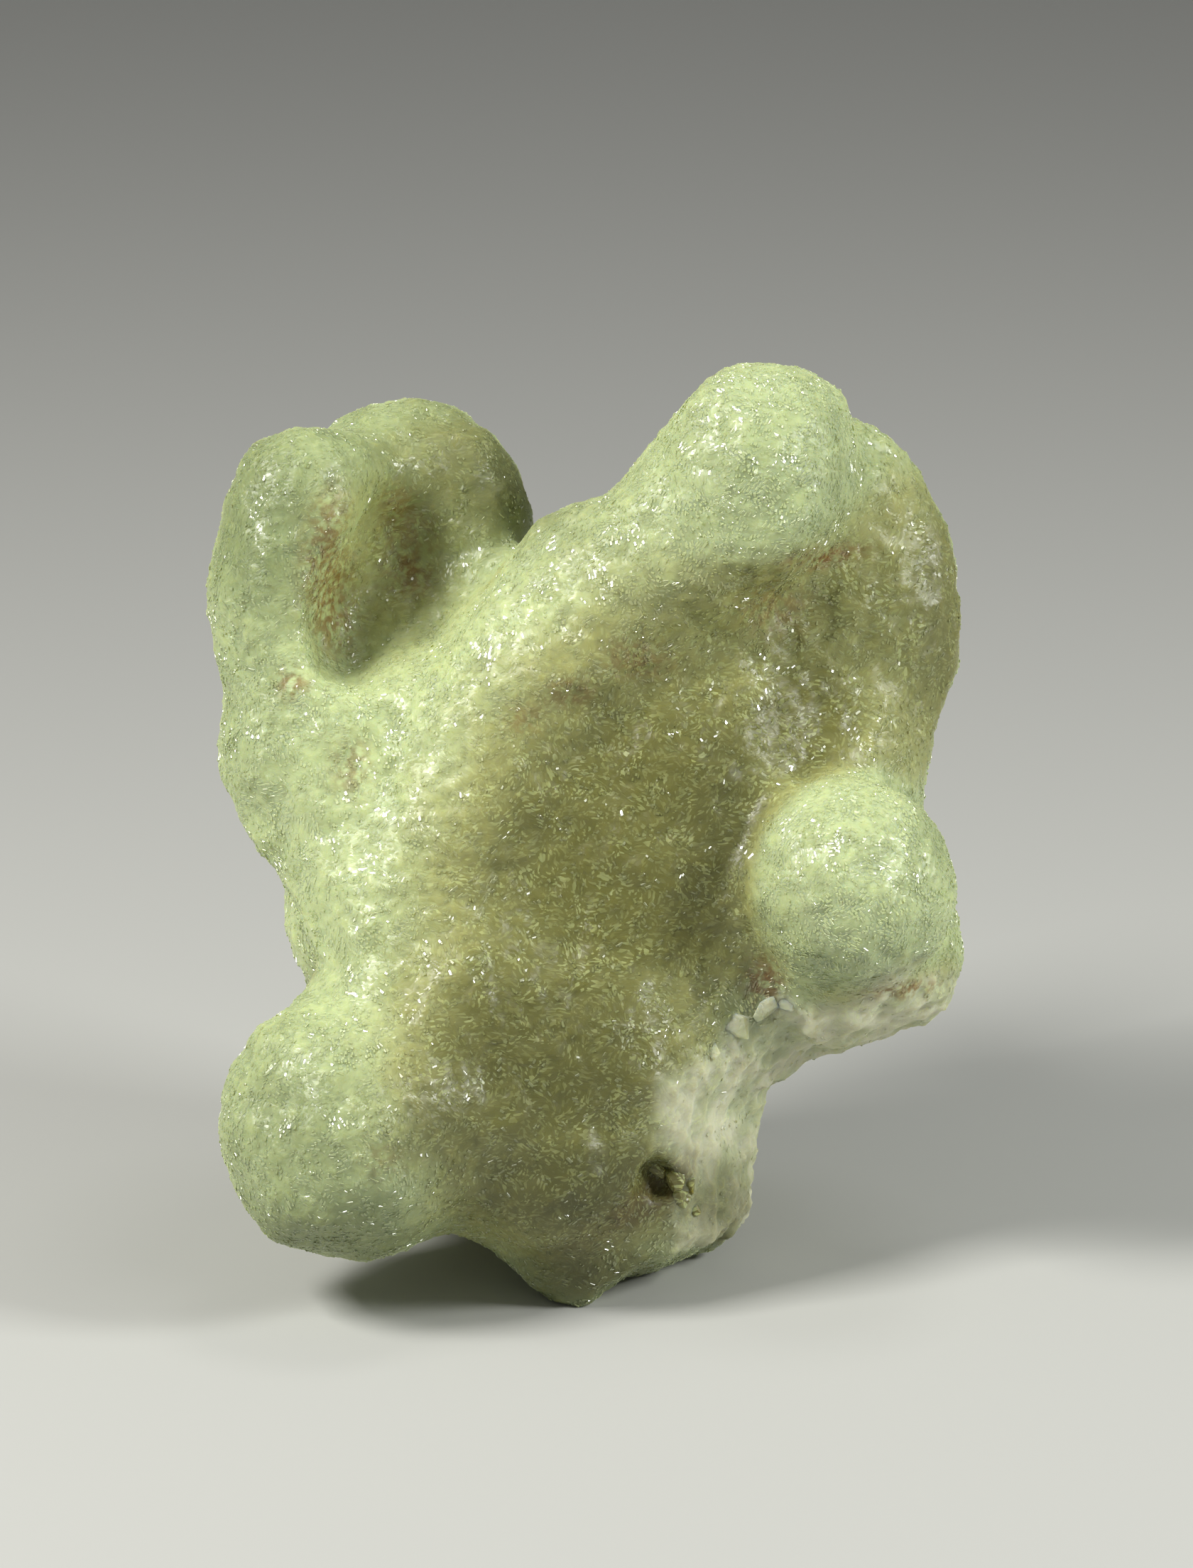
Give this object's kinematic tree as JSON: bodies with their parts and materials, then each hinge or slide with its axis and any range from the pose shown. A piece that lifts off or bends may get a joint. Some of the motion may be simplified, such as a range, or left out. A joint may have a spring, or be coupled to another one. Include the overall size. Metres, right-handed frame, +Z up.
{
  "type": "prehnite pseudomorph",
  "caption": "Rough stone of crossing, finger-like lobes with round ends, broken below on one side, that stands on a small flat underside.",
  "frame": {"origin": "the middle of the stone's box, at the level of its flat underside", "axes": "+Z up, +X to the right and +Y away from the viewer, as the front of the stone is seen"},
  "size_m": [0.0962, 0.0744, 0.1162],
  "materials": {
    "prehnite": "glassy, finely crystalline"
  },
  "bodies": {
    "root": {"specimen": "prehnite"}
  },
  "joints": []
}
